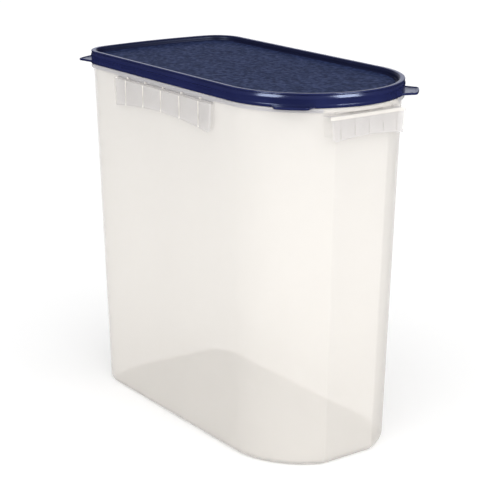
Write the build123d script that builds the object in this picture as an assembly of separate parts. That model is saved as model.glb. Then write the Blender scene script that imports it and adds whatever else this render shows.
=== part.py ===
"""Modular storage container: a tapered, D-shaped tub with ribbed grip skirts, and a lid with lift tabs.

Millimetres. +X runs along the container towards its round end, +Z is up, and the origin is on the
floor under the centre of the lid.
"""
from build123d import *
import math
import os

# Lid outline
LID_LENGTH = 400.0
LID_WIDTH = 200.0
LID_CORNER_RADIUS = 35.0
BACK_BOW_RADIUS = 520.0

# Heights
OVERALL_HEIGHT = 398.0
SKIRT_HEIGHT = 14.5
FLANGE_HEIGHT = 4.0
FLANGE_GAP = 0.5

# Container wall: how far its outer face stands inside the lid's outline, and its taper to the floor
RIM_INSET = 3.3
WALL = 2.0
BASE_THICKNESS = 2.5
BACK_TAPER = 8.7
SIDE_TAPER = 7.2
ROUND_END_TAPER = 7.0
CORNER_TAPER = -0.8
FLAT_SETBACK = 9.5
FLAT_TAPER = 13.5
BASE_FILLET = 8.0

# Flange and rim bead
FLANGE_INSET = 0.5
FLANGE_LEDGE = 1.8
FLANGE_LIP = 1.2
SHELF = 2.0
BEAD_HEIGHT = 5.0
BEAD_DEPTH = 0.7

# Lid
LID_SHELL = 1.8
PLUG_CLEARANCE = 0.5
PLUG_THICKNESS = 1.6
PLUG_DEPTH = 4.0
RECESS_DEPTH = 5.2
BORDER_WIDTH = 3.0
BORDER_DROP = 0.4
PANEL_THICKNESS = 2.0
RECESS_FILLET = 1.6
RIM_CROWN_RADIUS = 1.2
RECESS_CROWN_RADIUS = 3.0
LIP_RADIUS = 1.0
GROOVE_DEPTH = 0.5
GROOVE_HEIGHT = 4.4
GROOVE_RISE = 3.6

# Lift tabs
TAB_REACH = 14.0
TAB_ROOT_WIDTH = 46.0
TAB_TIP_WIDTH = 36.0
TAB_TIP_BOW = 1.5
TAB_CORNER = 5.0
TAB_THICKNESS = 1.6
TAB_BEAD_HEIGHT = 0.7
TAB_BEAD_WIDTH = 1.8
TAB_RISE = 0.7
TAB_BACK_ANGLE = 26.0
TAB_FRONT_ANGLE = 46.0

# Grip skirts, measured from the middle of each
GRIP_SKIRT = 1.5
GRIP_TOP_PLATE = 1.8
GRIP_RIB = 1.4
GRIP_FILLET = 3.5
GRIP_CORNER = 4.0
GRIP_GAP = 2.0
WEB_INSET = 1.0
SIDE_GRIP_CENTRE = -22.4
SIDE_GRIP_REACH = 3.0
SIDE_GRIP_TOP_WIDTH = 191.0
SIDE_GRIP_BOTTOM_WIDTH = 184.0
SIDE_GRIP_DEPTH = 31.5
SIDE_GRIP_ARCH = 7.0
SIDE_GRIP_RIBS = 5
SIDE_GRIP_PITCH = 35.6
END_GRIP_REACH = 0.5
END_GRIP_TOP_WIDTH = 96.0
END_GRIP_BOTTOM_WIDTH = 90.0
END_GRIP_DEPTH = 26.0
END_GRIP_ARCH = 3.5
END_GRIP_RIBS = 5
END_GRIP_PITCH = 17.9

# Levels that follow from the heights
SKIRT_BOTTOM = OVERALL_HEIGHT - SKIRT_HEIGHT
FLANGE_TOP = SKIRT_BOTTOM - FLANGE_GAP
SHOULDER = FLANGE_TOP - FLANGE_HEIGHT
RIM_TOP = OVERALL_HEIGHT - LID_SHELL
RECESS_FLOOR = OVERALL_HEIGHT - RECESS_DEPTH
PLUG_BOTTOM = RECESS_FLOOR - PANEL_THICKNESS - PLUG_DEPTH
PLUG_INSET = RIM_INSET + WALL + PLUG_CLEARANCE
RECESS_INSET = PLUG_INSET + PLUG_THICKNESS


def back_corner(back, half_width, corner, bow):
    """The centre of a back corner's arc, and the angle at which the arc meets the bowed back."""
    run = math.sqrt((bow - corner) ** 2 - (half_width - corner) ** 2)
    return bow - back - run, half_width - corner, math.atan2(half_width - corner, run)


def d_outline(back, half_width, corner, bow, centre, flat=None):
    """Closed D outline: bowed back end, two corners, straight sides and a round end centred at centre.

    flat is the distance from the origin of a flat cut across the round end, or None.
    """
    corner_x, corner_y, lean = back_corner(back, half_width, corner, bow)
    half_turn = (lean + math.pi / 2) / 2

    def on_corner(angle, side):
        return (corner_x - corner * math.cos(angle), side * (corner_y + corner * math.sin(angle)))

    edges = [ThreePointArc(on_corner(lean, -1), (-back, 0), on_corner(lean, 1))]
    for side in (1, -1):
        edges.append(ThreePointArc(on_corner(lean, side), on_corner(half_turn, side), (corner_x, side * half_width)))
        edges.append(Line((corner_x, side * half_width), (centre, side * half_width)))
    nose = 0.0 if flat is None else math.acos((flat - centre) / half_width)
    middle = (math.pi / 2 + nose) / 2
    for side in (1, -1):
        along = (centre + half_width * math.cos(middle), side * half_width * math.sin(middle))
        end = (centre + half_width * math.cos(nose), side * half_width * math.sin(nose))
        edges.append(ThreePointArc((centre, side * half_width), along, end))
    if flat is not None:
        edges.append(Line((flat, half_width * math.sin(nose)), (flat, -half_width * math.sin(nose))))
    return make_face(Wire.combine(edges)[0])


def lid_outline(inset):
    """The lid's plan, drawn in by inset."""
    half_width = LID_WIDTH / 2
    return d_outline(
        LID_LENGTH / 2 - inset,
        half_width - inset,
        LID_CORNER_RADIUS - inset,
        BACK_BOW_RADIUS - inset,
        LID_LENGTH / 2 - half_width,
    )


def wall_outline(height, inset):
    """The container wall's plan at a height, drawn in by inset from its outer face."""
    drop = 1 - height / SHOULDER
    total = RIM_INSET + inset
    return d_outline(
        LID_LENGTH / 2 - total - BACK_TAPER * drop,
        LID_WIDTH / 2 - total - SIDE_TAPER * drop,
        LID_CORNER_RADIUS - total - CORNER_TAPER * drop,
        BACK_BOW_RADIUS - total,
        LID_LENGTH / 2 - LID_WIDTH / 2 - ROUND_END_TAPER * drop,
        LID_LENGTH / 2 - FLAT_SETBACK - inset - FLAT_TAPER * drop,
    )


def raised(face, height):
    return Pos(0, 0, height) * face


def slab(face, bottom, top):
    return extrude(raised(face, bottom), amount=top - bottom)


def ring(outer_inset, inner_inset, bottom, top):
    return slab(lid_outline(outer_inset), bottom, top) - slab(lid_outline(inner_inset), bottom, top)


def tapered_block(bottom, inset, fillet_radius):
    """The solid inside the wall's face from bottom to the shoulder, with a rounded bottom edge."""
    low = raised(wall_outline(bottom, inset), bottom)
    high = raised(wall_outline(SHOULDER, inset), SHOULDER)
    block = loft([low, high], ruled=True)
    bottom_edges = block.faces().sort_by(Axis.Z)[0].edges()
    return fillet(bottom_edges, radius=fillet_radius)


def edges_on_ring(part, height, inset):
    """The edges of a part that run along the lid's outline, drawn in by inset, at a height."""
    outline = raised(lid_outline(inset), height).wires()[0]
    return [
        edge for edge in part.edges() if all(outline.distance_to(edge @ place) < 0.01 for place in (0, 0.5, 1))
    ]


def container_shell():
    """The tub: base, tapered wall, shelf over the flat, flange, rim and rim bead in one piece."""
    shell = tapered_block(0.0, 0.0, BASE_FILLET)
    hollow = tapered_block(BASE_THICKNESS, WALL, BASE_FILLET - WALL)
    shell -= hollow
    mouth = wall_outline(SHOULDER, WALL)
    shelf = slab(lid_outline(RIM_INSET), SHOULDER, SHOULDER + SHELF) - slab(mouth, SHOULDER, SHOULDER + SHELF)
    rim = ring(RIM_INSET, RIM_INSET + WALL, SHOULDER + SHELF, RIM_TOP)
    ledge = ring(FLANGE_INSET, RIM_INSET, FLANGE_TOP - FLANGE_LEDGE, FLANGE_TOP)
    lip = ring(FLANGE_INSET, FLANGE_INSET + FLANGE_LIP, SHOULDER, FLANGE_TOP - FLANGE_LEDGE)
    bead = ring(RIM_INSET - BEAD_DEPTH, RIM_INSET, RIM_TOP - BEAD_HEIGHT, RIM_TOP)
    return shell + shelf + rim + ledge + lip + bead


def grip(top_width, bottom_width, depth, arch, rib_count, rib_pitch, reach, root):
    """A skirt that hangs from the shoulder along X and faces -Y, hollow and open below, with ribs."""
    top = SHOULDER - GRIP_GAP
    bottom = top - depth
    slope = (top_width - bottom_width) / 2 / depth
    spare = 2 * GRIP_CORNER
    plan = Plane.XZ.offset(root)

    def tapered(shrink, lowest, highest):
        low = bottom_width / 2 - shrink - slope * (bottom - lowest)
        high = bottom_width / 2 - shrink + slope * (highest - bottom)
        return Polyline((-high, highest), (high, highest), (low, lowest), (-low, lowest), close=True)

    def block(shrink, lowest, highest, outer, radius):
        solid = extrude(plan * make_face(tapered(shrink, lowest, highest)), amount=outer - root)
        face = solid.faces().sort_by(Axis.Y)[0]
        return fillet([edge for edge in face.edges() if edge.center().Z > lowest + 0.1], radius=radius)

    outside = block(0.0, bottom - spare, top, reach, GRIP_FILLET)
    inside = block(
        GRIP_SKIRT, bottom - 2 * spare, top - GRIP_TOP_PLATE, reach - GRIP_SKIRT, GRIP_FILLET - GRIP_SKIRT
    )
    hung = outside - inside
    height = top - bottom + spare
    for index in range(rib_count):
        x = (index - (rib_count - 1) / 2) * rib_pitch
        rib = Pos(x, -(root + reach) / 2, top - height / 2) * Box(GRIP_RIB, reach - root, height)
        hung += rib & outside
    arched = make_face(
        [
            Line((-bottom_width / 2, bottom), (-top_width / 2, top)),
            Line((-top_width / 2, top), (top_width / 2, top)),
            Line((top_width / 2, top), (bottom_width / 2, bottom)),
            ThreePointArc((bottom_width / 2, bottom), (0, bottom + arch), (-bottom_width / 2, bottom)),
        ]
    )
    corners = arched.vertices().filter_by(lambda corner: corner.Y < bottom + 0.1)
    arched = fillet(corners, radius=GRIP_CORNER)
    return hung & extrude(plan * arched, amount=reach - root)


def rib_webs(rib_count, rib_pitch, reach, root):
    """Short webs that carry each rib on up, across the gap over the skirt, to the flange."""
    low = SHOULDER - GRIP_GAP - GRIP_TOP_PLATE / 2
    for index in range(rib_count):
        x = (index - (rib_count - 1) / 2) * rib_pitch
        yield Pos(x, -(root + reach) / 2, (low + SHOULDER) / 2) * Box(GRIP_RIB, reach - root, SHOULDER - low)


def side_grip(near):
    """The grip skirt on a long side, near (-Y) or far (+Y)."""
    reach = LID_WIDTH / 2 + SIDE_GRIP_REACH
    root = LID_WIDTH / 2 - RIM_INSET - SIDE_TAPER - WALL
    skirt = grip(
        SIDE_GRIP_TOP_WIDTH,
        SIDE_GRIP_BOTTOM_WIDTH,
        SIDE_GRIP_DEPTH,
        SIDE_GRIP_ARCH,
        SIDE_GRIP_RIBS,
        SIDE_GRIP_PITCH,
        reach,
        root,
    )
    for web in rib_webs(SIDE_GRIP_RIBS, SIDE_GRIP_PITCH, reach, root):
        skirt += web & slab(lid_outline(WEB_INSET), 0.0, SHOULDER)
    skirt = Pos(SIDE_GRIP_CENTRE, 0, 0) * skirt - tapered_block(0.0, 0.0, BASE_FILLET)
    return skirt if near else mirror(skirt, about=Plane.XZ)


def round_end_grip():
    """The grip skirt that stands over the flat on the round end. Its root lies inside the curved wall."""
    reach = LID_LENGTH / 2 + END_GRIP_REACH
    root = LID_LENGTH / 2 - END_GRIP_TOP_WIDTH / 3
    skirt = grip(
        END_GRIP_TOP_WIDTH,
        END_GRIP_BOTTOM_WIDTH,
        END_GRIP_DEPTH,
        END_GRIP_ARCH,
        END_GRIP_RIBS,
        END_GRIP_PITCH,
        reach,
        root,
    )
    skirt = Rot(0, 0, 90) * skirt
    for web in rib_webs(END_GRIP_RIBS, END_GRIP_PITCH, reach, root):
        skirt += (Rot(0, 0, 90) * web) & slab(lid_outline(WEB_INSET), 0.0, SHOULDER)
    return skirt - tapered_block(0.0, 0.0, BASE_FILLET)


def lid_rim():
    """The lid's edge: outer skirt with a shallow groove, narrow crown, plug wall and panel border."""
    skirt = ring(0.0, LID_SHELL, SKIRT_BOTTOM, RIM_TOP)
    groove_low = SKIRT_BOTTOM + GROOVE_RISE
    skirt -= ring(-1.0, GROOVE_DEPTH, groove_low, groove_low + GROOVE_HEIGHT)
    crown = ring(0.0, RECESS_INSET, RIM_TOP, OVERALL_HEIGHT)
    plug = ring(PLUG_INSET, RECESS_INSET, PLUG_BOTTOM, RIM_TOP)
    border_top = RECESS_FLOOR - BORDER_DROP
    border = ring(RECESS_INSET, RECESS_INSET + BORDER_WIDTH, RECESS_FLOOR - PANEL_THICKNESS, border_top)
    rim = skirt + crown + plug + border
    rim = fillet(edges_on_ring(rim, OVERALL_HEIGHT, 0.0), radius=RIM_CROWN_RADIUS)
    rim = fillet(edges_on_ring(rim, OVERALL_HEIGHT, RECESS_INSET), radius=RECESS_CROWN_RADIUS)
    rim = fillet(edges_on_ring(rim, border_top, RECESS_INSET), radius=RECESS_FILLET)
    return fillet(edges_on_ring(rim, SKIRT_BOTTOM, 0.0), radius=LIP_RADIUS)


def lid_panel():
    """The grained centre of the lid, which stands a little above its smooth border."""
    return slab(lid_outline(RECESS_INSET + BORDER_WIDTH), RECESS_FLOOR - PANEL_THICKNESS, RECESS_FLOOR)


def lift_tab(centre_x, centre_y, radius, angle):
    """A thin tab that stands out from the skirt at an angle, with a raised bead round its edge."""
    low = SKIRT_BOTTOM + TAB_RISE
    root = radius - TAB_REACH
    tip = radius + TAB_REACH
    corner = tip - TAB_TIP_BOW
    plate_face = make_face(
        [
            Line((root, TAB_ROOT_WIDTH / 2), (root, -TAB_ROOT_WIDTH / 2)),
            Line((root, -TAB_ROOT_WIDTH / 2), (corner, -TAB_TIP_WIDTH / 2)),
            ThreePointArc((corner, -TAB_TIP_WIDTH / 2), (tip, 0), (corner, TAB_TIP_WIDTH / 2)),
            Line((corner, TAB_TIP_WIDTH / 2), (root, TAB_ROOT_WIDTH / 2)),
        ]
    )
    plate_face = fillet(plate_face.vertices().sort_by(Axis.X)[-2:], radius=TAB_CORNER)
    dish = offset(plate_face, amount=-TAB_BEAD_WIDTH)
    plate = extrude(plate_face, amount=TAB_THICKNESS + TAB_BEAD_HEIGHT)
    plate -= Pos(0, 0, TAB_THICKNESS) * extrude(dish, amount=TAB_BEAD_HEIGHT)
    placed = Pos(centre_x, centre_y, low) * Rot(0, 0, angle) * plate
    return placed - slab(lid_outline(0.0), low - 1, OVERALL_HEIGHT)


def back_tab(side):
    corner_x, corner_y, _ = back_corner(LID_LENGTH / 2, LID_WIDTH / 2, LID_CORNER_RADIUS, BACK_BOW_RADIUS)
    return lift_tab(corner_x, side * corner_y, LID_CORNER_RADIUS, side * (180 - TAB_BACK_ANGLE))


def front_tab(side):
    half_width = LID_WIDTH / 2
    return lift_tab(LID_LENGTH / 2 - half_width, 0, half_width, side * TAB_FRONT_ANGLE)


NODES = {
    "container_shell": container_shell,
    "grip_near_side": lambda: side_grip(True),
    "grip_far_side": lambda: side_grip(False),
    "grip_round_end": round_end_grip,
    "lid_rim": lid_rim,
    "lid_panel": lid_panel,
    "lift_tab_back_near": lambda: back_tab(-1),
    "lift_tab_back_far": lambda: back_tab(1),
    "lift_tab_front_near": lambda: front_tab(-1),
    "lift_tab_front_far": lambda: front_tab(1),
}

os.makedirs("parts", exist_ok=True)
for name, make in NODES.items():
    solid = make()
    export_step(solid, f"parts/{name}.step")
    box = solid.bounding_box()
    print(name, len(solid.solids()), round(solid.volume), tuple(round(v, 1) for v in (*box.min, *box.max)))
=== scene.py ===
"""Dresses the modular storage container: a milky tub with grip skirts and a navy lid with lift tabs.

Everything is in metres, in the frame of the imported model: +X runs towards the round end, +Z is up, and
the origin is on the floor under the centre of the lid.
"""
import math

import bmesh
import bpy
from bpy.props import FloatProperty, FloatVectorProperty, PointerProperty
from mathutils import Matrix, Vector


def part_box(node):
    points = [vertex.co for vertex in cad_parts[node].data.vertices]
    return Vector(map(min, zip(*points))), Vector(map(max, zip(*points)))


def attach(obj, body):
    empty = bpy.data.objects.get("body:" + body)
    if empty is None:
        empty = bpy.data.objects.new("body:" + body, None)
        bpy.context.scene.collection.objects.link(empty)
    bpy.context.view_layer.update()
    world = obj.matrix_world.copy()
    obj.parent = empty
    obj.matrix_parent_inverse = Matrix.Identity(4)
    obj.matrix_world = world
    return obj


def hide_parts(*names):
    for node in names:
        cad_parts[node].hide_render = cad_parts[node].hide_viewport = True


bl_info = {
    "name": "Modular Storage Container",
    "version": (1, 0, 0),
    "blender": (4, 5, 0),
    "location": "View3D > Sidebar > Container",
    "description": "Builds the tub, the grip skirts, the lid and the studio round them",
    "category": "Object",
}

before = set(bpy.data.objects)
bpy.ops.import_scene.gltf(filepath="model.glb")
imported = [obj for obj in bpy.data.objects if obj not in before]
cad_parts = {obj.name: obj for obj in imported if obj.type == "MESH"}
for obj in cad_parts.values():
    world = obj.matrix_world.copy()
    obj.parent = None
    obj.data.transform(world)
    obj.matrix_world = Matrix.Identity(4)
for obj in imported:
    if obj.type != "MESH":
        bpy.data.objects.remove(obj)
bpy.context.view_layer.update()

# Sizes that the frame gives
LID_LOW, LID_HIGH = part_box("lid_rim")
PANEL_LOW, PANEL_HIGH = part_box("lid_panel")
TAB_LOW, TAB_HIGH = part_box("lift_tab_front_near")
SIDE_GRIP_LOW, SIDE_GRIP_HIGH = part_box("grip_near_side")
END_GRIP_LOW, END_GRIP_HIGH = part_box("grip_round_end")
LENGTH = LID_HIGH.x - LID_LOW.x
WIDTH = LID_HIGH.y - LID_LOW.y
HEIGHT = LID_HIGH.z
SKIRT_BOTTOM = LID_LOW.z
RIM_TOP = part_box("container_shell")[1].z
RECESS_FLOOR = PANEL_HIGH.z
PANEL_UNDERSIDE = PANEL_LOW.z

# Lid outline
CORNER_RADIUS = 0.035
BACK_BOW_RADIUS = 0.52
ROUND_END_CENTRE = LENGTH / 2 - WIDTH / 2

# Tub wall, inset from the lid's outline, and how far it draws in down to the floor
RIM_INSET = 0.0033
BASE_THICKNESS = 0.0025
FLANGE_GAP = 0.0005
FLANGE_HEIGHT = 0.004
FLANGE_INSET = 0.0005
FLANGE_LEDGE = 0.0018
FLANGE_LIP = 0.0012
SHELF = 0.002
BEAD_HEIGHT = 0.005
BEAD_DEPTH = 0.0007
BACK_TAPER = 0.0087
SIDE_TAPER = 0.0072
ROUND_END_TAPER = 0.007
CORNER_TAPER = -0.0008
FLAT_SETBACK = 0.0095
FLAT_TAPER = 0.0135
BASE_FILLET = 0.008
CREASE_RADIUS = 0.005
FLANGE_TOP = SKIRT_BOTTOM - FLANGE_GAP
SHOULDER = FLANGE_TOP - FLANGE_HEIGHT
SHOULDER_BLEND = 0.0003
SHELF_BLEND = 0.0005

# Lid section
LID_SHELL = 0.0018
PLUG_INSET = 0.0058
PLUG_THICKNESS = 0.0016
PLUG_DEPTH = 0.004
BORDER_WIDTH = 0.003
BORDER_DROP = 0.0004
RECESS_INSET = PLUG_INSET + PLUG_THICKNESS
PLUG_BOTTOM = PANEL_UNDERSIDE - PLUG_DEPTH
SHOULDER_RADIUS = 0.0065
SHOULDER_TURN = math.radians(33)
SHOULDER_STEPS = 10
SHOULDER_FOOT = HEIGHT - 0.006

# Faint bead at the foot of the lid's skirt, the groove under its crest as (inset, rise, radius),
# and how far the satin finish with its painted shade runs out over the recess wall's rounded top
FOOT_BEAD = 0.0025
FOOT_BEAD_TOP = 0.0037
SKIRT_STEP = 0.0003
SKIRT_STEP_DROP = 0.0009
CREST_INSET = 0.0004
CREST_RISE = 0.0011
CREST_GROOVE = ((0.0001, 0.0004, 0.0001), (0.0003, 0.0006, 0.0001))
SATIN_SHADE_REACH = 0.0021

# Lift tabs
TAB_REACH = 0.014
TAB_ROOT_WIDTH = 0.046
TAB_TIP_WIDTH = 0.036
TAB_TIP_BOW = 0.0015
TAB_CORNER = 0.005
TAB_BACK_ANGLE = math.radians(26)
TAB_FRONT_ANGLE = math.radians(46)
TAB_ROOT_DEPTH = LID_SHELL * 0.55
TAB_CORNER_STEPS = 6
TAB_ROOT_STEPS = 8

# Grip skirts
GRIP_TOP_PLATE = 0.0018
GRIP_RIB = 0.0014
GRIP_PLAN_CORNER = 0.0035
GRIP_CORNER = 0.004
GRIP_SHOULDER = 0.0024
BAND_DEPTH = 0.0014
GRIP_GAP = 0.002
GRIP_TOP = SHOULDER - GRIP_GAP
GRIP_BURY = 0.00005
GRIP_EDGE = 0.0004
WEB_INSET = 0.001

# How far a rib starts above the lower edge, half the width of the lighter line painted along it on the
# skirt, the bend of the inner face under the top plate, and the reach of the thin ends' finish
RIB_LIFT = 0.0015
RIB_LINE_HALF = 0.0008
INNER_BEND = 0.0022
END_MARGIN = 0.0002

SIDE_GRIP_SHAPE = {
    "depth": 0.0315,
    "bottom_width": 0.184,
    "arch": 0.007,
    "pitch": 0.0356,
    "painted_highlight_shoulder": False,
}
END_GRIP_SHAPE = {
    "depth": 0.026,
    "bottom_width": 0.09,
    "arch": 0.0035,
    "pitch": 0.0179,
    "painted_highlight_shoulder": True,
}
RIB_PLACES = (2, 1, 0, -1, -2)

# Finishes of a grip skirt, as places in its list of materials, with painted shade in the cells, painted
# lighter lines on the ribs and a painted highlight band, and the rows that the band takes
SHADED_CELL, LIT_LINE, FACE, END, HIGHLIGHT_BAND = range(5)
HIGHLIGHT_BAND_ROWS = range(3, 7)

# Samples along half of an outline, from the middle of the back to the middle of the round end
BOW_STEPS = 8
CORNER_STEPS = 14
SIDE_STEPS = 18
NOSE_STEPS = 28
CREASE_STEPS = 5
FLAT_STEPS = 6
NOSE_SPLIT = math.radians(21.5)
CREASE_TURN = math.radians(2.0)
FILLET_STEPS = 7
WALL_STEPS = 16
CORNER_ARC_STEPS = 4
CAP_SHARES = (0.02, 0.25, 0.5, 0.75, 0.92)

# Samples across a grip skirt: shares of a cell, places in from its end, and steps round its parts
CELL_SHARES = (-0.25, 0.0, 0.25)
CORNER_PLACES = (0.0062, 0.0054, 0.0046, 0.0039)
CORNER_CLEARANCE = 0.002
GRIP_CORNER_STEPS = 6
GRIP_SHOULDER_STEPS = 5
GRIP_ROOT_STEPS = 24

# How far past a height the middle of a face has to be to count as beyond it
MARGIN = 0.0001

# Finish and studio
PLASTIC_IOR = 1.49
SENSOR_WIDTH = 36.0
LENS_SHIFT = (-0.0015, -0.0201)
FLOOR_RADIUS = 20.0
LIGHT_RISE = math.radians(28)
LIGHT_HEIGHT = 1.0
BACKDROP_RISE = math.radians(12)


class StorageContainerSizes(bpy.types.PropertyGroup):
    """Sizes and finish of the tub and of its grip skirts."""

    wall: FloatProperty(
        name="Wall", description="Thickness of the tub's wall", default=0.002, min=0.001, unit="LENGTH"
    )
    grip_skirt: FloatProperty(
        name="Grip skirt",
        description="Thickness of the grip skirts",
        default=0.0015,
        min=0.001,
        unit="LENGTH",
    )
    cloudiness: FloatProperty(
        name="Cloudiness",
        description="How much of the light each surface of the milky plastic stops",
        default=0.34,
        min=0.0,
        max=1.0,
        subtype="FACTOR",
    )
    colour: FloatVectorProperty(
        name="Plastic",
        description="Colour of the milky plastic",
        default=(0.82, 0.785, 0.738),
        subtype="COLOR",
    )
    # Painted shade: this grey stands in for the shade under the lid, in the gap over the side grips and
    # in the grip cells, besides the doubled plastic
    shaded_grip_colour: FloatVectorProperty(
        name="Doubled plastic",
        description="Colour of the plastic where the flange and the skirts double it",
        default=(0.535, 0.522, 0.54),
        subtype="COLOR",
    )


class StorageLidSizes(bpy.types.PropertyGroup):
    """Sizes and colours of the lid."""

    grain: FloatProperty(
        name="Grain size",
        description="Size of the grain moulded into the panel",
        default=0.0046,
        min=0.0005,
        unit="LENGTH",
    )
    rim_colour: FloatVectorProperty(
        name="Rim",
        description="Colour of the glossy rim and tabs",
        default=(0.0112, 0.0145, 0.0615),
        subtype="COLOR",
    )
    panel_colour: FloatVectorProperty(
        name="Panel",
        description="Colour of the grained panel",
        default=(0.02, 0.03, 0.08),
        subtype="COLOR",
    )
    sheen_tint: FloatVectorProperty(
        name="Sheen",
        description="Tint of the lid's reflections",
        default=(0.66, 0.76, 1.0),
        subtype="COLOR",
    )


class StorageStage(bpy.types.PropertyGroup):
    """The camera, the floor and the lights."""

    camera_turn: FloatProperty(
        name="Turn",
        description="Direction of the camera from the front",
        default=math.radians(54.254),
        subtype="ANGLE",
    )
    camera_rise: FloatProperty(
        name="Rise",
        description="Height of the camera as an angle",
        default=math.radians(16.2635),
        subtype="ANGLE",
    )
    camera_distance: FloatProperty(
        name="Distance", description="Camera to the middle of the tub", default=1.66153, unit="LENGTH"
    )
    camera_lens: FloatProperty(name="Lens", description="Focal length in millimetres", default=107.33)
    floor_colour: FloatVectorProperty(
        name="Floor", description="Colour of the floor", default=(0.92, 0.92, 0.92), subtype="COLOR"
    )
    sky: FloatProperty(name="Sky", description="Strength of the light from all round", default=1.15)
    lean: FloatProperty(
        name="Lean", description="How much brighter the sky is at the front", default=0.8
    )
    backdrop: FloatProperty(
        name="Backdrop", description="Brightness of the backdrop where the gloss shows it", default=0.85
    )
    backdrop_tint: FloatVectorProperty(
        name="Backdrop tint",
        description="Colour of the backdrop in the gloss",
        default=(0.84, 0.87, 1.0),
        min=0.0,
        max=1.0,
        subtype="COLOR",
    )
    ceiling: FloatProperty(
        name="Ceiling", description="Brightness of the ceiling in the gloss", default=0.35
    )
    key: FloatProperty(
        name="Key", description="Brightness of the soft key light on the round end", default=1.1
    )
    softbox: FloatProperty(name="Softbox", description="Brightness of each softbox", default=17.0)


def back_corner(back, half_width, corner, bow):
    """The centre of a back corner's arc, and the angle at which the arc meets the bowed back."""
    run = math.sqrt((bow - corner) ** 2 - (half_width - corner) ** 2)
    return bow - back - run, half_width - corner, math.atan2(half_width - corner, run)


def arc(centre_x, centre_y, radius, start, end, steps):
    """Points along an arc, without the last one."""
    angles = [start + (end - start) * step / steps for step in range(steps)]
    return [(centre_x + radius * math.cos(a), centre_y + radius * math.sin(a)) for a in angles]


def straight(start, end, steps):
    """Points along a line, without the last one."""
    return [
        (start[0] + (end[0] - start[0]) * step / steps, start[1] + (end[1] - start[1]) * step / steps)
        for step in range(steps)
    ]


def outline(back, half_width, corner, bow, centre, flat=None, crease=0.0):
    """The D-shaped plan as points, anticlockwise from the middle of the back, with or without the flat.

    Every outline has its points in the same order, so that any two of them can be joined.
    """
    corner_x, corner_y, lean = back_corner(back, half_width, corner, bow)
    half = arc(bow - back, 0.0, bow, math.pi, math.pi + lean, BOW_STEPS)
    half += arc(corner_x, -corner_y, corner, math.pi + lean, 1.5 * math.pi, CORNER_STEPS)
    half += straight((corner_x, -half_width), (centre, -half_width), SIDE_STEPS)
    if flat is None:
        half += arc(centre, 0.0, half_width, -math.pi / 2, -NOSE_SPLIT, NOSE_STEPS)
        half += arc(centre, 0.0, half_width, -NOSE_SPLIT, CREASE_TURN - NOSE_SPLIT, CREASE_STEPS)
        half += arc(centre, 0.0, half_width, CREASE_TURN - NOSE_SPLIT, 0.0, FLAT_STEPS)
        half.append((centre + half_width, 0.0))
    else:
        inner_x = flat - crease
        crease_y = math.sqrt((half_width - crease) ** 2 - (inner_x - centre) ** 2)
        split = math.atan2(crease_y, inner_x - centre)
        half += arc(centre, 0.0, half_width, -math.pi / 2, -split, NOSE_STEPS)
        half += arc(inner_x, -crease_y, crease, -split, 0.0, CREASE_STEPS)
        half += straight((flat, -crease_y), (flat, 0.0), FLAT_STEPS)
        half.append((flat, 0.0))
    return half + [(x, -y) for x, y in reversed(half[1:-1])]


def lid_ring(inset, height):
    """The lid's outline, drawn in by inset, as points at a height."""
    points = outline(
        LENGTH / 2 - inset,
        WIDTH / 2 - inset,
        CORNER_RADIUS - inset,
        BACK_BOW_RADIUS - inset,
        ROUND_END_CENTRE,
    )
    return [Vector((x, y, height)) for x, y in points]


def wall_ring(height, inset):
    """The tub wall's outline at a height, drawn in by inset from its outer face."""
    drop = 1 - height / SHOULDER
    total = RIM_INSET + inset
    points = outline(
        LENGTH / 2 - total - BACK_TAPER * drop,
        WIDTH / 2 - total - SIDE_TAPER * drop,
        CORNER_RADIUS - total - CORNER_TAPER * drop,
        BACK_BOW_RADIUS - total,
        ROUND_END_CENTRE - ROUND_END_TAPER * drop,
        LENGTH / 2 - FLAT_SETBACK - inset - FLAT_TAPER * drop,
        CREASE_RADIUS - inset,
    )
    return [Vector((x, y, height)) for x, y in points]


def filleted_rings(bottom, inset, radius):
    """Rings up the rounded edge between a floor at bottom and the wall inset from its face."""
    rings = []
    for step in range(FILLET_STEPS + 1):
        turn = math.pi / 2 * step / FILLET_STEPS
        height = bottom + radius * (1 - math.cos(turn))
        rings.append(wall_ring(height, inset + radius * (1 - math.sin(turn))))
    return rings


def cap_rings(ring):
    """Smaller copies of a flat ring, from its middle outwards, without the ring itself."""
    middle = sum(ring, Vector()) / len(ring)
    return [[middle.lerp(point, share) for point in ring] for share in CAP_SHARES]


def rounded(corners, closed):
    """(inset, height, radius) corners as a list of points, with each corner rounded."""
    points = []
    count = len(corners)
    for index, (inset, height, radius) in enumerate(corners):
        here = Vector((inset, height))
        if radius == 0.0 or (not closed and index in (0, count - 1)):
            points.append(here)
            continue
        before = Vector(corners[index - 1][:2]) - here
        after = Vector(corners[(index + 1) % count][:2]) - here
        before.normalize()
        after.normalize()
        half_turn = before.angle(after) / 2
        reach = radius / math.tan(half_turn)
        centre = here + (before + after).normalized() * radius / math.sin(half_turn)
        start = here + before * reach - centre
        end = here + after * reach - centre
        for step in range(CORNER_ARC_STEPS + 1):
            share = step / CORNER_ARC_STEPS
            points.append(centre + start.lerp(end, share).normalized() * radius)
    return points


def mesh_object(name, mesh, body, nodes):
    """Links a mesh as a piece that rides on a body and stands for CAD nodes."""
    piece = bpy.data.objects.new(name, mesh)
    bpy.context.scene.collection.objects.link(piece)
    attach(piece, body)
    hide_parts(*nodes)
    return piece


def finished_mesh(name, shape, materials, sharp=math.radians(38)):
    """Turns a bmesh into a smooth-shaded mesh whose sharp corners stay sharp."""
    for face in shape.faces:
        face.smooth = True
    mesh = bpy.data.meshes.new(name)
    shape.to_mesh(mesh)
    shape.free()
    mesh.set_sharp_from_angle(angle=sharp)
    for material in materials:
        mesh.materials.append(material)
    return mesh


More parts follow.
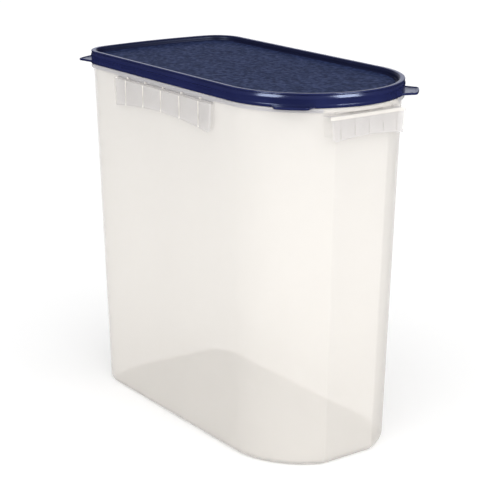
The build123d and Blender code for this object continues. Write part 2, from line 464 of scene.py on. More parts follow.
def add_rings(shape, rings, closed):
    """Adds a skin that joins rings, each with as many points. An open one is capped at both ends."""
    count = len(rings[0])
    rows = [[shape.verts.new(point) for point in ring] for ring in rings]
    pairs = list(zip(rows, rows[1:]))
    if closed:
        pairs.append((rows[-1], rows[0]))
    for low, high in pairs:
        for index in range(count):
            following = (index + 1) % count
            shape.faces.new((low[index], low[following], high[following], high[index]))
    if not closed:
        shape.faces.new(list(reversed(rows[0])))
        shape.faces.new(rows[-1])


def ring_mesh(name, rings, closed, *materials):
    """A mesh that is one skin over rings."""
    shape = bmesh.new()
    add_rings(shape, rings, closed)
    return finished_mesh(name, shape, materials)


def new_material(name):
    """A node material with only a Principled shader and its output."""
    material = bpy.data.materials.new(name)
    material.use_nodes = True
    tree = material.node_tree
    return material, tree, tree.nodes["Principled BSDF"]


def object_noise(tree, scale, detail, roughness, stretch=(1.0, 1.0, 1.0)):
    """Noise in the object's own coordinates. Returns its factor output."""
    place = tree.nodes.new("ShaderNodeTexCoord")
    mapping = tree.nodes.new("ShaderNodeMapping")
    mapping.inputs["Scale"].default_value = stretch
    noise = tree.nodes.new("ShaderNodeTexNoise")
    noise.inputs["Scale"].default_value = scale
    noise.inputs["Detail"].default_value = detail
    noise.inputs["Roughness"].default_value = roughness
    tree.links.new(place.outputs["Object"], mapping.inputs["Vector"])
    tree.links.new(mapping.outputs["Vector"], noise.inputs["Vector"])
    return noise.outputs["Fac"]


def spread(tree, factor, low, high, low_at=0.3, high_at=0.7):
    """Maps a noise factor to a range of values."""
    ramp = tree.nodes.new("ShaderNodeMapRange")
    ramp.inputs["From Min"].default_value = low_at
    ramp.inputs["From Max"].default_value = high_at
    ramp.inputs["To Min"].default_value = low
    ramp.inputs["To Max"].default_value = high
    tree.links.new(factor, ramp.inputs["Value"])
    return ramp.outputs["Result"]


def two_tone(tree, factor, dark, light, dark_at=0.3, light_at=0.7):
    """A colour between two tones by a noise factor."""
    ramp = tree.nodes.new("ShaderNodeValToRGB")
    ramp.color_ramp.elements[0].position = dark_at
    ramp.color_ramp.elements[0].color = (*dark, 1.0)
    ramp.color_ramp.elements[1].position = light_at
    ramp.color_ramp.elements[1].color = (*light, 1.0)
    tree.links.new(factor, ramp.inputs["Fac"])
    return ramp.outputs["Color"]


def bump(tree, height, shader, strength, distance):
    """Feeds a height to the shader's normal."""
    node = tree.nodes.new("ShaderNodeBump")
    node.inputs["Strength"].default_value = strength
    node.inputs["Distance"].default_value = distance
    tree.links.new(height, node.inputs["Height"])
    tree.links.new(node.outputs["Normal"], shader.inputs["Normal"])


def tinted(colour, share):
    """A colour made darker or lighter by a share."""
    return tuple(channel * share for channel in colour)


def cloudy_plastic(name, colour, alpha):
    """See-through plastic with faint clouding and a softly uneven sheen."""
    known = bpy.data.materials.get(name)
    if known:
        return known
    material, tree, shader = new_material(name)
    clouds = object_noise(tree, scale=9.0, detail=3.0, roughness=0.5, stretch=(1.0, 1.0, 0.35))
    tones = two_tone(tree, clouds, tinted(colour, 0.985), tinted(colour, 1.01))
    tree.links.new(tones, shader.inputs["Base Color"])
    scuffs = object_noise(tree, scale=120.0, detail=4.0, roughness=0.6)
    tree.links.new(spread(tree, scuffs, low=0.3, high=0.38), shader.inputs["Roughness"])
    waves = object_noise(tree, scale=26.0, detail=2.0, roughness=0.5)
    bump(tree, waves, shader, strength=0.12, distance=0.002)
    shader.inputs["Alpha"].default_value = alpha
    shader.inputs["IOR"].default_value = PLASTIC_IOR
    return material


def milky_plastic():
    """Milky plastic of the tub's wall."""
    sizes = bpy.context.scene.storage_container
    return cloudy_plastic("milky_plastic", sizes.colour, sizes.cloudiness)


def doubled_shaded_plastic():
    """The same plastic where the flange and the skirts double it, so that it passes less light, and
    greyer as painted shade: its colour stands in for the shade under the lid, in the gap over the side
    grips and in the grip cells.
    """
    sizes = bpy.context.scene.storage_container
    return cloudy_plastic("doubled_shaded_plastic", sizes.shaded_grip_colour, min(1.0, sizes.cloudiness * 1.6))


def skirt_face_plastic():
    """The same plastic on the outer face of a skirt, through which its ribs show."""
    sizes = bpy.context.scene.storage_container
    return cloudy_plastic("skirt_face_plastic", tinted(sizes.colour, 0.97), sizes.cloudiness * 0.7)


def skirt_end_plastic():
    """The same plastic on the end of a skirt, where it is thinnest."""
    sizes = bpy.context.scene.storage_container
    return cloudy_plastic("skirt_end_plastic", sizes.colour, sizes.cloudiness * 0.15)


def lit_rib_line_plastic():
    """The same plastic along a rib and in the webs over a side skirt, more opaque where it is thickest,
    and painted lighter than the plastic as a painted highlight for the light that these catch.
    """
    sizes = bpy.context.scene.storage_container
    alpha = min(1.0, sizes.cloudiness * 3.0)
    return cloudy_plastic("lit_rib_line_plastic", tinted(sizes.colour, 1.12), alpha)


def highlight_band_plastic():
    """Painted highlight: the same plastic, made more opaque round the shoulder of the round end's skirt,
    stands in for the highlight where the shoulder is lit from above.
    """
    sizes = bpy.context.scene.storage_container
    alpha = min(1.0, sizes.cloudiness * 1.8)
    return cloudy_plastic("highlight_band_plastic", tinted(sizes.colour, 0.93), alpha)


def rim_plastic():
    """Glossy navy plastic of the lid's rim and tabs."""
    known = bpy.data.materials.get("navy_gloss")
    if known:
        return known
    sizes = bpy.context.scene.storage_lid
    material, tree, shader = new_material("navy_gloss")
    clouds = object_noise(tree, scale=35.0, detail=3.0, roughness=0.5)
    tones = two_tone(tree, clouds, tinted(sizes.rim_colour, 0.92), tinted(sizes.rim_colour, 1.08))
    tree.links.new(tones, shader.inputs["Base Color"])
    scuffs = object_noise(tree, scale=240.0, detail=4.0, roughness=0.6)
    tree.links.new(spread(tree, scuffs, low=0.16, high=0.2), shader.inputs["Roughness"])
    waves = object_noise(tree, scale=60.0, detail=2.0, roughness=0.5)
    bump(tree, waves, shader, strength=0.04, distance=0.0006)
    shader.inputs["IOR"].default_value = PLASTIC_IOR
    shader.inputs["Specular Tint"].default_value = (*sizes.sheen_tint, 1.0)
    return material


def shaded_recess_plastic():
    """Navy plastic with a satin finish, for the wall and border of the recess, with painted shade: its
    colour is about half the rim's, darker as the shade in the recess.
    """
    sizes = bpy.context.scene.storage_lid
    material, tree, shader = new_material("navy_satin_shaded")
    clouds = object_noise(tree, scale=45.0, detail=3.0, roughness=0.5)
    tones = two_tone(tree, clouds, tinted(sizes.rim_colour, 0.42), tinted(sizes.rim_colour, 0.55))
    tree.links.new(tones, shader.inputs["Base Color"])
    scuffs = object_noise(tree, scale=240.0, detail=4.0, roughness=0.6)
    tree.links.new(spread(tree, scuffs, low=0.36, high=0.44), shader.inputs["Roughness"])
    grain = object_noise(tree, scale=300.0, detail=3.0, roughness=0.6)
    bump(tree, grain, shader, strength=0.15, distance=0.0003)
    shader.inputs["IOR"].default_value = PLASTIC_IOR
    shader.inputs["Specular IOR Level"].default_value = 0.2
    shader.inputs["Specular Tint"].default_value = (*sizes.sheen_tint, 1.0)
    return material


def panel_plastic():
    """Navy plastic with a fine moulded grain, for the lid's panel."""
    sizes = bpy.context.scene.storage_lid
    material, tree, shader = new_material("navy_grain")
    valley, crest = 0.4, 0.65
    grain = object_noise(tree, scale=1.0 / sizes.grain, detail=3.0, roughness=0.55)
    dark = tinted(sizes.panel_colour, 0.72)
    light = tinted(sizes.panel_colour, 1.45)
    tree.links.new(two_tone(tree, grain, dark, light, valley, crest), shader.inputs["Base Color"])
    smoothness = spread(tree, grain, low=0.55, high=0.41, low_at=valley, high_at=crest)
    tree.links.new(smoothness, shader.inputs["Roughness"])
    bump(tree, grain, shader, strength=0.7, distance=0.0006)
    shader.inputs["IOR"].default_value = PLASTIC_IOR
    shader.inputs["Specular IOR Level"].default_value = 0.03
    shader.inputs["Specular Tint"].default_value = (*sizes.sheen_tint, 1.0)
    return material


def shell_rings():
    """The tub's skin, from under its base out, up, over the rim and down to the middle of its floor."""
    wall = bpy.context.scene.storage_container.wall
    rings = filleted_rings(0.0, 0.0, BASE_FILLET)
    rings = cap_rings(rings[0]) + rings
    rise = GRIP_TOP - BASE_FILLET
    rings += [wall_ring(BASE_FILLET + rise * step / WALL_STEPS, 0.0) for step in range(1, WALL_STEPS + 1)]
    rings.append(wall_ring(SHOULDER - SHOULDER_BLEND, 0.0))
    ledge = FLANGE_TOP - FLANGE_LEDGE
    bead_bottom = RIM_TOP - BEAD_HEIGHT
    inner = RIM_INSET + wall
    section = rounded(
        [
            (RIM_INSET, SHOULDER + SHOULDER_BLEND, 0.0),
            (RIM_INSET, ledge, 0.0004),
            (FLANGE_INSET + FLANGE_LIP, ledge, 0.0004),
            (FLANGE_INSET + FLANGE_LIP, SHOULDER, 0.0004),
            (FLANGE_INSET, SHOULDER, 0.0005),
            (FLANGE_INSET, FLANGE_TOP, 0.0009),
            (RIM_INSET, FLANGE_TOP, 0.0004),
            (RIM_INSET, bead_bottom, 0.0004),
            (RIM_INSET - BEAD_DEPTH, bead_bottom + BEAD_DEPTH, 0.0006),
            (RIM_INSET - BEAD_DEPTH, RIM_TOP, 0.0007),
            (inner, RIM_TOP, 0.0006),
            (inner, SHOULDER + SHELF, 0.0),
        ],
        closed=False,
    )
    rings += [lid_ring(inset, height) for inset, height in section]
    inner_fillet = BASE_FILLET - wall
    low = BASE_THICKNESS + inner_fillet
    high = SHOULDER + SHELF - SHELF_BLEND
    rings += [wall_ring(high + (low - high) * step / WALL_STEPS, wall) for step in range(WALL_STEPS)]
    inside = list(reversed(filleted_rings(BASE_THICKNESS, wall, inner_fillet)))
    return rings + inside + list(reversed(cap_rings(inside[-1])))


def lid_rim_section():
    """The lid's edge as a closed section: skirt, crown, recess wall, border, plug wall and inside."""
    border_top = RECESS_FLOOR - BORDER_DROP
    border_inset = RECESS_INSET + BORDER_WIDTH
    skirt = rounded(
        [
            (LID_SHELL, SKIRT_BOTTOM, 0.0),
            (0.0, SKIRT_BOTTOM, 0.0007),
            (0.0, SKIRT_BOTTOM + FOOT_BEAD, 0.002),
            (SKIRT_STEP, SKIRT_BOTTOM + FOOT_BEAD_TOP, 0.0015),
            (SKIRT_STEP, SHOULDER_FOOT - SKIRT_STEP_DROP, 0.0006),
            (0.0, SHOULDER_FOOT, 0.0),
        ],
        closed=False,
    )
    shoulder = []
    for step in range(SHOULDER_STEPS + 1):
        turn = SHOULDER_TURN * step / SHOULDER_STEPS
        inset = SHOULDER_RADIUS * (1 - math.cos(turn))
        shoulder.append(Vector((inset, SHOULDER_FOOT + SHOULDER_RADIUS * math.sin(turn))))
    edge = shoulder[-1]
    rest = rounded(
        [
            (edge.x, edge.y, 0.0),
            *((edge.x + inset, edge.y + rise, radius) for inset, rise, radius in CREST_GROOVE),
            (CREST_INSET, edge.y + CREST_RISE, 0.0002),
            (CREST_INSET, HEIGHT, 0.0009),
            (RECESS_INSET, HEIGHT, 0.003),
            (RECESS_INSET, border_top, 0.0016),
            (border_inset, border_top, 0.0),
            (border_inset, PANEL_UNDERSIDE, 0.0),
            (RECESS_INSET, PANEL_UNDERSIDE, 0.0005),
            (RECESS_INSET, PLUG_BOTTOM, 0.0005),
            (PLUG_INSET, PLUG_BOTTOM, 0.0006),
            (PLUG_INSET, RIM_TOP, 0.0004),
            (LID_SHELL, RIM_TOP, 0.0006),
            (LID_SHELL, SKIRT_BOTTOM, 0.0),
        ],
        closed=False,
    )
    return skirt[:-1] + shoulder + rest[1:-1]


def lid_panel_rings():
    """The lid's sunk panel, whose top edge is rounded where it stands above the border."""
    inset = RECESS_INSET + BORDER_WIDTH
    edge = BORDER_DROP
    section = [(inset, PANEL_UNDERSIDE), (inset, RECESS_FLOOR - edge)]
    for step in range(1, CORNER_ARC_STEPS + 1):
        turn = math.pi / 2 * step / CORNER_ARC_STEPS
        height = RECESS_FLOOR - edge * (1 - math.sin(turn))
        section.append((inset + edge * (1 - math.cos(turn)), height))
    rings = [lid_ring(*place) for place in section]
    return cap_rings(rings[0]) + rings + list(reversed(cap_rings(rings[-1])))


def distance_to_outline(points, start, heading):
    """How far a ray from inside a closed outline runs before it leaves it."""
    reach = 0.0
    for index, here in enumerate(points):
        along = (points[index - 1] - here).xy
        across = heading.cross(along)
        if abs(across) < 1e-12:
            continue
        offset = here.xy - start
        share = offset.cross(heading) / across
        if -1e-9 <= share <= 1 + 1e-9:
            reach = max(reach, offset.cross(along) / across)
    return reach


def tab_rings(centre, radius, angle):
    """A lift tab: a thin plate with a raised bead round its edge and its root inside the lid's skirt."""
    heading = Vector((math.cos(angle), math.sin(angle)))
    side = Vector((-heading.y, heading.x))
    buried = lid_ring(TAB_ROOT_DEPTH, 0.0)
    tip = radius + TAB_REACH
    turns = [math.pi / 2 * step / TAB_CORNER_STEPS for step in range(TAB_CORNER_STEPS + 1)]
    corner_y = TAB_TIP_WIDTH / 2 - TAB_CORNER
    bow = TAB_TIP_BOW * (corner_y / (TAB_TIP_WIDTH / 2)) ** 2
    corner_x = tip - bow - TAB_CORNER
    low, high = TAB_LOW.z, TAB_HIGH.z
    rings = []
    for inset, height in (
        (0.0005, low),
        (0.0001, low + 0.0002),
        (0.0, low + 0.0006),
        (0.0, high - 0.0006),
        (0.00012, high - 0.0002),
        (0.0005, high),
        (0.0012, high),
        (0.0016, high - 0.00015),
        (0.0019, high - 0.0006),
        (0.0024, high - 0.0007),
    ):
        reach = TAB_CORNER - inset
        local = [(corner_x + reach * math.sin(a), -corner_y - reach * math.cos(a)) for a in turns]
        for share in (-0.67, -0.33, 0.0, 0.33, 0.67):
            local.append((tip - bow * share ** 2 - inset, corner_y * share))
        local += [(corner_x + reach * math.cos(a), corner_y + reach * math.sin(a)) for a in turns]
        half_root = TAB_ROOT_WIDTH / 2 - inset
        for step in range(TAB_ROOT_STEPS + 1):
            across = half_root * (1 - 2 * step / TAB_ROOT_STEPS)
            start = centre + side * across
            local.append((distance_to_outline(buried, start, heading), across))
        ring = [centre + heading * x + side * y for x, y in local]
        rings.append([Vector((point.x, point.y, height)) for point in ring])
    return rings


class GripShape:
    """One grip skirt in its own axes: u across it, v outwards from the middle of the tub, and z up."""

    def __init__(self, origin, outwards, reach, top_width, shape, wall_at, lid_edge_at):
        self.origin = Vector(origin)
        self.outwards = Vector(outwards)
        self.across = self.outwards.cross(Vector((0.0, 0.0, 1.0)))
        self.reach = reach
        self.top_half = top_width / 2
        self.bottom_half = shape["bottom_width"] / 2
        self.bottom = GRIP_TOP - shape["depth"]
        self.arch = shape["arch"]
        self.pitch = shape["pitch"]
        self.painted_highlight_shoulder = shape["painted_highlight_shoulder"]
        self.ribs = [place * self.pitch for place in RIB_PLACES]
        self.wall_at = wall_at
        self.lid_edge_at = lid_edge_at

    def place(self, u, v, z):
        """The point at u, v and z."""
        return self.origin + self.across * u + self.outwards * v + Vector((0.0, 0.0, z))

    def half_at(self, z):
        """Half the skirt's width at a height."""
        share = (z - self.bottom) / (GRIP_TOP - self.bottom)
        return self.bottom_half + (self.top_half - self.bottom_half) * share

    def edge_at(self, u):
        """Height of the arched lower edge, which turns up round each end's corner."""
        beyond = abs(u) - (self.bottom_half - GRIP_CORNER)
        arched = self.bottom + self.arch * (1 - min(1.0, (u / self.bottom_half) ** 2))
        if beyond <= 0:
            return arched
        beyond = min(beyond, GRIP_CORNER)
        return max(arched, self.bottom + GRIP_CORNER - math.sqrt(GRIP_CORNER ** 2 - beyond ** 2))

    def stations(self):
        """Places across the front, from +u to -u, which are the same in every row."""
        fixed = set()
        for rib in self.ribs:
            fixed.update((rib - RIB_LINE_HALF, rib + RIB_LINE_HALF))
        for index in range(len(self.ribs) + 1):
            middle = self.ribs[0] + self.pitch / 2 - index * self.pitch
            for share in CELL_SHARES:
                place = middle + share * self.pitch
                if abs(place) < self.bottom_half - GRIP_CORNER - CORNER_CLEARANCE:
                    fixed.add(place)
        for back in CORNER_PLACES:
            fixed.update((self.bottom_half - back, back - self.bottom_half))
        return sorted(fixed, reverse=True)

    def row(self, inset, height_of):
        """Points along the skirt from one end on the wall, round the front, to the other end."""
        places = []
        corner = GRIP_PLAN_CORNER
        radius = corner - inset
        for side in (1, -1):
            z = height_of(self.edge_at(self.bottom_half))
            half = self.half_at(z)
            root = self.wall_at(half, z) - GRIP_BURY
            u = side * (half - inset)
            part = [(u, root, z), (u, (self.reach - corner + root) / 2, z)]
            for step in range(GRIP_CORNER_STEPS + 1):
                turn = math.pi / 2 * step / GRIP_CORNER_STEPS
                z = height_of(self.edge_at(self.bottom_half - corner + corner * math.cos(turn)))
                u = self.half_at(z) - corner + radius * math.cos(turn)
                part.append((side * u, self.reach - corner + radius * math.sin(turn), z))
            if side > 0:
                places += part
                places += [(u, self.reach - inset, height_of(self.edge_at(u))) for u in self.stations()]
            else:
                places += list(reversed(part))
        return places

    def root_line(self, z, half):
        """Points along the wall behind the skirt at a height, without the two at its ends."""
        places = [-half + 2 * half * step / GRIP_ROOT_STEPS for step in range(1, GRIP_ROOT_STEPS)]
        return [self.place(u, self.wall_at(u, z) - GRIP_BURY, z) for u in places]


def add_plate(shape, grip, u, low, high, front, material_index):
    """Adds one upright web of a grip, from the wall out to front and from low to high."""
    corners = []
    for z in (low, high):
        back = grip.wall_at(u, z) - GRIP_BURY
        for side, v in ((-1, back), (1, back), (1, front), (-1, front)):
            corners.append(shape.verts.new(grip.place(u + side * GRIP_RIB / 2, v, z)))
    for sides in ((3, 2, 1, 0), (4, 5, 6, 7), (0, 1, 5, 4), (1, 2, 6, 5), (2, 3, 7, 6), (3, 0, 4, 7)):
        shape.faces.new([corners[index] for index in sides]).material_index = material_index


def outer_levels():
    """Rows of a skirt's outer face, as an inset and a height worked out from its lower edge's."""
    foot = GRIP_TOP - GRIP_SHOULDER - BAND_DEPTH
    levels = [(GRIP_EDGE, lambda edge: edge), (0.0, lambda edge: edge + GRIP_EDGE)]
    levels.append((0.0, lambda edge: (edge + GRIP_EDGE + foot) / 2))
    levels += [(0.0, lambda edge: foot), (0.0, lambda edge: foot + BAND_DEPTH)]
    for step in range(1, GRIP_SHOULDER_STEPS + 1):
        turn = math.pi / 2 * step / GRIP_SHOULDER_STEPS
        inset = GRIP_SHOULDER * (1 - math.cos(turn))
        drop = GRIP_SHOULDER * (1 - math.sin(turn))
        levels.append((inset, lambda edge, drop=drop: GRIP_TOP - drop))
    return levels


def inner_levels(skirt, under):
    """Rows of a skirt's inner face, from its lower edge to the underside of its top plate."""
    levels = [(skirt - GRIP_EDGE, lambda edge: edge), (skirt, lambda edge: edge + GRIP_EDGE)]
    levels.append((skirt, lambda edge: (edge + under) / 2))
    levels += [(skirt, lambda edge, drop=drop: under - drop) for drop in (INNER_BEND, 0.0)]
    return levels


def add_skin(shape, grip, low, high, inside, finish):
    """Joins two rows of a skirt. Its thin ends, and a side skirt's painted lighter lines over its ribs,
    differ.
    """
    stations = [place[0] for place in grip.row(0.0, lambda edge: GRIP_TOP)]
    for index in range(len(low) - 1):
        corners = (low[index], low[index + 1], high[index + 1], high[index])
        face = shape.faces.new(tuple(reversed(corners)) if inside else corners)
        face.material_index = finish
        middle = (stations[index] + stations[index + 1]) / 2
        # Painted highlight: on a side skirt, the inner face along each rib takes the lighter rib-line
        # plastic
        on_rib = any(abs(middle - rib) < RIB_LINE_HALF / 2 for rib in grip.ribs)
        if abs(middle) > grip.top_half - END_MARGIN:
            face.material_index = END
        elif inside and on_rib and not grip.painted_highlight_shoulder:
            face.material_index = LIT_LINE


def grip_mesh(name, grip):
    """The skirt, its top plate, its ribs and the webs over them, open below."""
    skirt = bpy.context.scene.storage_container.grip_skirt
    shape = bmesh.new()
    under = GRIP_TOP - GRIP_TOP_PLATE
    highlight_painted = grip.painted_highlight_shoulder

    def rows_of(levels):
        return [[shape.verts.new(grip.place(*point)) for point in grip.row(*level)] for level in levels]

    outer = rows_of(outer_levels())
    inner = rows_of(inner_levels(skirt, under))
    # Painted highlight: on the round end's skirt, the outer rows round the shoulder and the top row
    # inside take the band plastic
    for index, (low, high) in enumerate(zip(outer, outer[1:])):
        add_skin(shape, grip, low, high, False, HIGHLIGHT_BAND if highlight_painted and index in HIGHLIGHT_BAND_ROWS else FACE)
    # Painted shade: the inner face of a skirt, and a side skirt's top plate below, take the greyer
    # doubled plastic for the shade in the cells behind the skirt
    for low, high in zip(inner, inner[1:]):
        add_skin(shape, grip, low, high, True, HIGHLIGHT_BAND if highlight_painted and high is inner[-1] else SHADED_CELL)
    add_skin(shape, grip, inner[0], outer[0], False, SHADED_CELL)

    high_line = grip.root_line(GRIP_TOP, grip.top_half - GRIP_SHOULDER)
    high_root = [shape.verts.new(point) for point in high_line]
    low_root = [shape.verts.new(point) for point in grip.root_line(under, grip.top_half - skirt)]
    plate = shape.faces.new(outer[-1] + high_root)
    plate.material_index = FACE if highlight_painted else SHADED_CELL
    shape.faces.new(list(reversed(inner[-1] + low_root)))
    back_high = [outer[-1][-1]] + high_root + [outer[-1][0]]
    back_low = [inner[-1][-1]] + low_root + [inner[-1][0]]
    for index in range(len(back_high) - 1):
        following = index + 1
        shape.faces.new((back_low[index], back_low[following], back_high[following], back_high[index]))
    for corners in (
        [row[0] for row in reversed(outer)] + [row[0] for row in inner],
        [row[-1] for row in outer] + [row[-1] for row in reversed(inner)],
    ):
        shape.faces.new(corners).material_index = END

    for rib in grip.ribs:
        add_plate(shape, grip, rib, grip.edge_at(rib) + RIB_LIFT, under, grip.reach - skirt, FACE)
        # Painted highlight: the webs over a side skirt take the lighter rib-line plastic
        add_plate(shape, grip, rib, GRIP_TOP, SHOULDER, grip.lid_edge_at(rib), FACE if highlight_painted else LIT_LINE)
    finishes = {
        SHADED_CELL: doubled_shaded_plastic(),
        LIT_LINE: lit_rib_line_plastic(),
        FACE: skirt_face_plastic(),
        END: skirt_end_plastic(),
        HIGHLIGHT_BAND: highlight_band_plastic(),
    }
    return finished_mesh(name, shape, [finishes[place] for place in sorted(finishes)])


def side_wall_at(u, z):
    """Distance of the long side's wall from the middle plane."""
    return WIDTH / 2 - RIM_INSET - SIDE_TAPER * (1 - z / SHOULDER)


def round_end_wall_at(u, z):
    """X of the round end's wall: its flat, or the arc beside it."""
    drop = 1 - z / SHOULDER
    flat = LENGTH / 2 - FLAT_SETBACK - FLAT_TAPER * drop
    radius = WIDTH / 2 - RIM_INSET - SIDE_TAPER * drop
    arc_x = ROUND_END_CENTRE - ROUND_END_TAPER * drop + math.sqrt(radius ** 2 - u ** 2)
    return min(flat, arc_x)


def side_lid_edge_at(u):
    """How far out a web runs under the flange on a long side."""
    return WIDTH / 2 - WEB_INSET


def round_end_lid_edge_at(u):
    """How far out a web runs under the flange on the round end."""
    return ROUND_END_CENTRE + math.sqrt((WIDTH / 2 - WEB_INSET) ** 2 - u ** 2)


class STORAGE_OT_shell(bpy.types.Operator):
    """Build the tub: base, tapered wall with its flat, shelf, flange and rim"""

    bl_idname = "storage.shell"
    bl_label = "Tub"

    def execute(self, context):
        mesh = ring_mesh("tub", shell_rings(), False, milky_plastic(), doubled_shaded_plastic())
        # Painted shade: the flange, and the wall in the gap between a side grip's top and the flange,
        # take the greyer doubled plastic for the lid's shade over the flange and the shade in the gap
        for face in mesh.polygons:
            over_side_grip = SIDE_GRIP_LOW.x < face.center.x < SIDE_GRIP_HIGH.x
            over_end_grip = face.center.x > ROUND_END_CENTRE and abs(face.center.y) < END_GRIP_HIGH.y
            lowest = (GRIP_TOP if over_side_grip else SHOULDER) - MARGIN
            if lowest < face.center.z < FLANGE_TOP + FLANGE_GAP and not over_end_grip:
                face.material_index = 1
        mesh_object("tub", mesh, "container", ["container_shell"])
        return {"FINISHED"}


class STORAGE_OT_grips(bpy.types.Operator):
    """Build the three ribbed grip skirts"""

    bl_idname = "storage.grips"
    bl_label = "Grip skirts"

    def execute(self, context):
        middle = (SIDE_GRIP_LOW.x + SIDE_GRIP_HIGH.x) / 2
        width = SIDE_GRIP_HIGH.x - SIDE_GRIP_LOW.x
        reach = -SIDE_GRIP_LOW.y
        for name, node, way in (("grip_near", "grip_near_side", -1), ("grip_far", "grip_far_side", 1)):
            grip = GripShape(
                (middle, 0, 0),
                (0, way, 0),
                reach,
                width,
                SIDE_GRIP_SHAPE,
                side_wall_at,
                side_lid_edge_at,
            )
            mesh_object(name, grip_mesh(name, grip), "container", [node])
        width = END_GRIP_HIGH.y - END_GRIP_LOW.y
        grip = GripShape(
            (0, 0, 0),
            (1, 0, 0),
            END_GRIP_HIGH.x,
            width,
            END_GRIP_SHAPE,
            round_end_wall_at,
            round_end_lid_edge_at,
        )
        mesh = grip_mesh("grip_end", grip)
        mesh_object("grip_end", mesh, "container", ["grip_round_end"])
        return {"FINISHED"}


class STORAGE_OT_lid(bpy.types.Operator):
    """Build the lid's rim and its grained panel"""

    bl_idname = "storage.lid"
    bl_label = "Lid"

    def execute(self, context):
        section = lid_rim_section()
        rings = [lid_ring(inset, height) for inset, height in section]
        rim = ring_mesh("rim", rings, True, rim_plastic(), shaded_recess_plastic())
        for index, face in enumerate(rim.polygons):
            ring = index // len(rings[0])
            inset = min(section[ring].x, section[(ring + 1) % len(section)].x)
            # Painted shade: the recess wall, its rounded top and the border take the darker satin navy
            if inset > RECESS_INSET - SATIN_SHADE_REACH and face.center.z > PANEL_UNDERSIDE + MARGIN:
                face.material_index = 1
        mesh_object("rim", rim, "lid", ["lid_rim"])
        panel = ring_mesh("panel", lid_panel_rings(), False, panel_plastic())
        mesh_object("panel", panel, "lid", ["lid_panel"])
        return {"FINISHED"}


class STORAGE_OT_tabs(bpy.types.Operator):
    """Build the four lift tabs"""

    bl_idname = "storage.tabs"
    bl_label = "Lift tabs"

    def execute(self, context):
        corner_x, corner_y, _ = back_corner(LENGTH / 2, WIDTH / 2, CORNER_RADIUS, BACK_BOW_RADIUS)
        for word, way in (("near", -1), ("far", 1)):
            back = Vector((corner_x, way * corner_y))
            front = Vector((ROUND_END_CENTRE, 0.0))
            for end, centre, radius, angle in (
                ("back", back, CORNER_RADIUS, way * (math.pi - TAB_BACK_ANGLE)),
                ("front", front, WIDTH / 2, way * TAB_FRONT_ANGLE),
            ):
                name = f"tab_{end}_{word}"
                mesh = ring_mesh(name, tab_rings(centre, radius, angle), False, rim_plastic())
                mesh_object(name, mesh, "lid", [f"lift_tab_{end}_{word}"])
        return {"FINISHED"}


def direction(turn, rise):
    """Unit vector from the object to a place seen at an angle round from +X and an angle up."""
    return Vector((math.cos(turn) * math.cos(rise), math.sin(turn) * math.cos(rise), math.sin(rise)))


def softbox(name, turn, distance, width, brightness, in_gloss):
    """A large soft light that faces the lid, and either shows in its gloss or lights the object.

    Its brightness is that of its surface.
    """
    target = Vector((0.0, 0.0, HEIGHT))
    light = bpy.data.lights.new(name, "AREA")
    light.shape = "RECTANGLE"
    light.size = width
    light.size_y = LIGHT_HEIGHT
    light.energy = brightness * math.pi * width * LIGHT_HEIGHT
    lamp = bpy.data.objects.new(name, light)
    away = direction(turn, LIGHT_RISE)
    lamp.location = target + away * distance
    lamp.rotation_euler = away.to_track_quat("Z", "Y").to_euler()
    lamp.visible_camera = False
    lamp.visible_diffuse = not in_gloss
    lamp.visible_glossy = in_gloss
    bpy.context.scene.collection.objects.link(lamp)


def combined(tree, operation, first, second):
    """A sum or product of two outputs, or of an output and a number."""
    node = tree.nodes.new("ShaderNodeMath")
    node.operation = operation
    for socket, value in zip(node.inputs, (first, second)):
        if isinstance(value, float):
            socket.default_value = value
        else:
            tree.links.new(value, socket)
    return node.outputs["Value"]


def mixed(tree, factor, first, second):
    """One of two values, by a factor. The first is an output, and the second an output or a number."""
    node = tree.nodes.new("ShaderNodeMix")
    tree.links.new(factor, node.inputs["Factor"])
    tree.links.new(first, node.inputs["A"])
    if isinstance(second, float):
        node.inputs["B"].default_value = second
    else:
        tree.links.new(second, node.inputs["B"])
    return node.outputs["Result"]


def towards(tree, place, turn, rise):
    """How far a direction points towards a place in the studio, from -1 to 1."""
    node = tree.nodes.new("ShaderNodeVectorMath")
    node.operation = "DOT_PRODUCT"
    node.inputs[1].default_value = direction(turn, rise)
    tree.links.new(place.outputs["Generated"], node.inputs[0])
    return node.outputs["Value"]


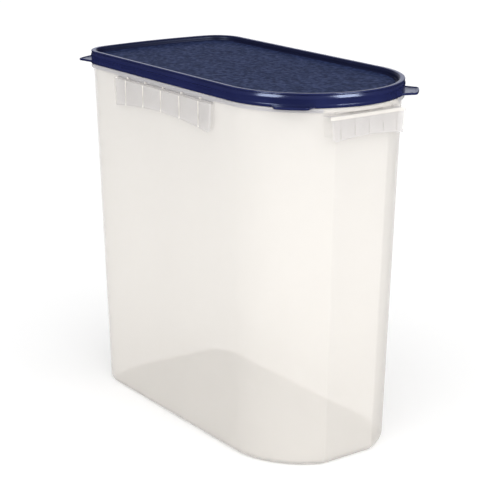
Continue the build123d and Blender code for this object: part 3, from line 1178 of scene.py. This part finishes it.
def make_world(stage):
    """A white sky, brighter at the front. The gloss shows it dark, with a low backdrop and a ceiling."""
    world = bpy.data.worlds.new("studio")
    world.use_nodes = True
    bpy.context.scene.world = world
    tree = world.node_tree
    place = tree.nodes.new("ShaderNodeTexCoord")
    split = tree.nodes.new("ShaderNodeSeparateXYZ")
    tree.links.new(place.outputs["Generated"], split.inputs["Vector"])
    height = split.outputs["Z"]
    front = towards(tree, place, stage.camera_turn - math.pi / 2, 0.0)
    lean = spread(tree, front, low=1.0 - stage.lean, high=1.0 + stage.lean, low_at=-1.0, high_at=1.0)
    dome = spread(tree, height, low=0.04, high=stage.sky, low_at=-0.06, high_at=0.0)
    sky = combined(tree, "MULTIPLY", dome, lean)
    behind = towards(tree, place, stage.camera_turn + math.pi / 2, BACKDROP_RISE)
    glow = spread(tree, behind, low=0.0, high=stage.backdrop, low_at=0.88, high_at=0.975)
    above = spread(tree, height, low=0.0, high=1.0, low_at=-0.03, high_at=0.02)
    below = spread(tree, height, low=1.0, high=0.0, low_at=0.2, high_at=0.3)
    backdrop = combined(tree, "MULTIPLY", glow, combined(tree, "MULTIPLY", above, below))
    ceiling = spread(tree, height, low=0.08, high=stage.ceiling, low_at=0.75, high_at=0.95)
    gloss = combined(tree, "ADD", backdrop, combined(tree, "MULTIPLY", ceiling, above))
    path = tree.nodes.new("ShaderNodeLightPath")
    lit = mixed(tree, path.outputs["Is Glossy Ray"], sky, gloss)
    seen = mixed(tree, path.outputs["Is Camera Ray"], lit, stage.sky)
    white, tint = (1.0, 1.0, 1.0), stage.backdrop_tint
    background = tree.nodes["Background"]
    colour = two_tone(tree, path.outputs["Is Glossy Ray"], white, tint, dark_at=0.0, light_at=1.0)
    tree.links.new(colour, background.inputs["Color"])
    tree.links.new(seen, background.inputs["Strength"])


def make_floor(stage):
    """A large pale disc under the object."""
    material, tree, shader = new_material("studio_floor")
    clouds = object_noise(tree, scale=0.8, detail=2.0, roughness=0.5)
    tones = two_tone(tree, clouds, tinted(stage.floor_colour, 0.995), tuple(stage.floor_colour))
    tree.links.new(tones, shader.inputs["Base Color"])
    shader.inputs["Roughness"].default_value = 0.9
    shader.inputs["Specular IOR Level"].default_value = 0.0
    shape = bmesh.new()
    bmesh.ops.create_circle(shape, cap_ends=True, radius=FLOOR_RADIUS, segments=96)
    floor = bpy.data.objects.new("floor", finished_mesh("floor", shape, (material,)))
    bpy.context.scene.collection.objects.link(floor)
    floor.visible_glossy = False


def make_camera(stage):
    """The camera, where the photograph's stood."""
    camera = bpy.data.objects.new("camera", bpy.data.cameras.new("camera"))
    bpy.context.scene.collection.objects.link(camera)
    target = Vector((0.0, 0.0, HEIGHT / 2))
    away = direction(stage.camera_turn - math.pi / 2, stage.camera_rise)
    camera.location = target + away * stage.camera_distance
    camera.rotation_euler = away.to_track_quat("Z", "Y").to_euler()
    camera.data.sensor_width = SENSOR_WIDTH
    camera.data.lens = stage.camera_lens
    camera.data.shift_x, camera.data.shift_y = LENS_SHIFT
    bpy.context.scene.camera = camera


class STORAGE_OT_stage(bpy.types.Operator):
    """Build the floor, the sky, the softboxes and the camera"""

    bl_idname = "storage.stage"
    bl_label = "Studio"

    def execute(self, context):
        stage = context.scene.storage_stage
        make_camera(stage)
        make_floor(stage)
        make_world(stage)
        for name, turn, distance, width, brightness, in_gloss in (
            ("softbox_left", -82, 1.8, 0.78, stage.softbox * 0.85, True),
            ("softbox_right", 11, 1.8, 0.82, stage.softbox, True),
            ("key", -10, 1.5, 1.2, stage.key, False),
        ):
            softbox(name, math.radians(turn), distance, width, brightness, in_gloss)
        context.scene.view_settings.view_transform = "Standard"
        context.scene.view_settings.look = "None"
        context.scene.cycles.transparent_max_bounces = 32
        return {"FINISHED"}


class STORAGE_PT_sidebar(bpy.types.Panel):
    """Lists the sizes, the colours and the pieces"""

    bl_label = "Storage container"
    bl_idname = "STORAGE_PT_sidebar"
    bl_space_type = "VIEW_3D"
    bl_region_type = "UI"
    bl_category = "Container"

    def draw(self, context):
        layout = self.layout
        for place in GROUPS:
            group = getattr(context.scene, place)
            column = layout.column(align=True)
            for name in group.bl_rna.properties.keys():
                if name not in ("rna_type", "name"):
                    column.prop(group, name)
        for operator in OPERATORS:
            layout.operator(operator.bl_idname)


GROUPS = {
    "storage_container": StorageContainerSizes,
    "storage_lid": StorageLidSizes,
    "storage_stage": StorageStage,
}
OPERATORS = (STORAGE_OT_stage, STORAGE_OT_shell, STORAGE_OT_grips, STORAGE_OT_lid, STORAGE_OT_tabs)


def register():
    for name, group in GROUPS.items():
        bpy.utils.register_class(group)
        setattr(bpy.types.Scene, name, PointerProperty(type=group))
    for operator in OPERATORS:
        bpy.utils.register_class(operator)
    bpy.utils.register_class(STORAGE_PT_sidebar)


def unregister():
    bpy.utils.unregister_class(STORAGE_PT_sidebar)
    for operator in reversed(OPERATORS):
        bpy.utils.unregister_class(operator)
    for name, group in GROUPS.items():
        delattr(bpy.types.Scene, name)
        bpy.utils.unregister_class(group)


def main():
    register()
    bpy.ops.storage.stage()
    bpy.ops.storage.shell()
    bpy.ops.storage.grips()
    bpy.ops.storage.lid()
    bpy.ops.storage.tabs()


if __name__ == "__main__":
    main()
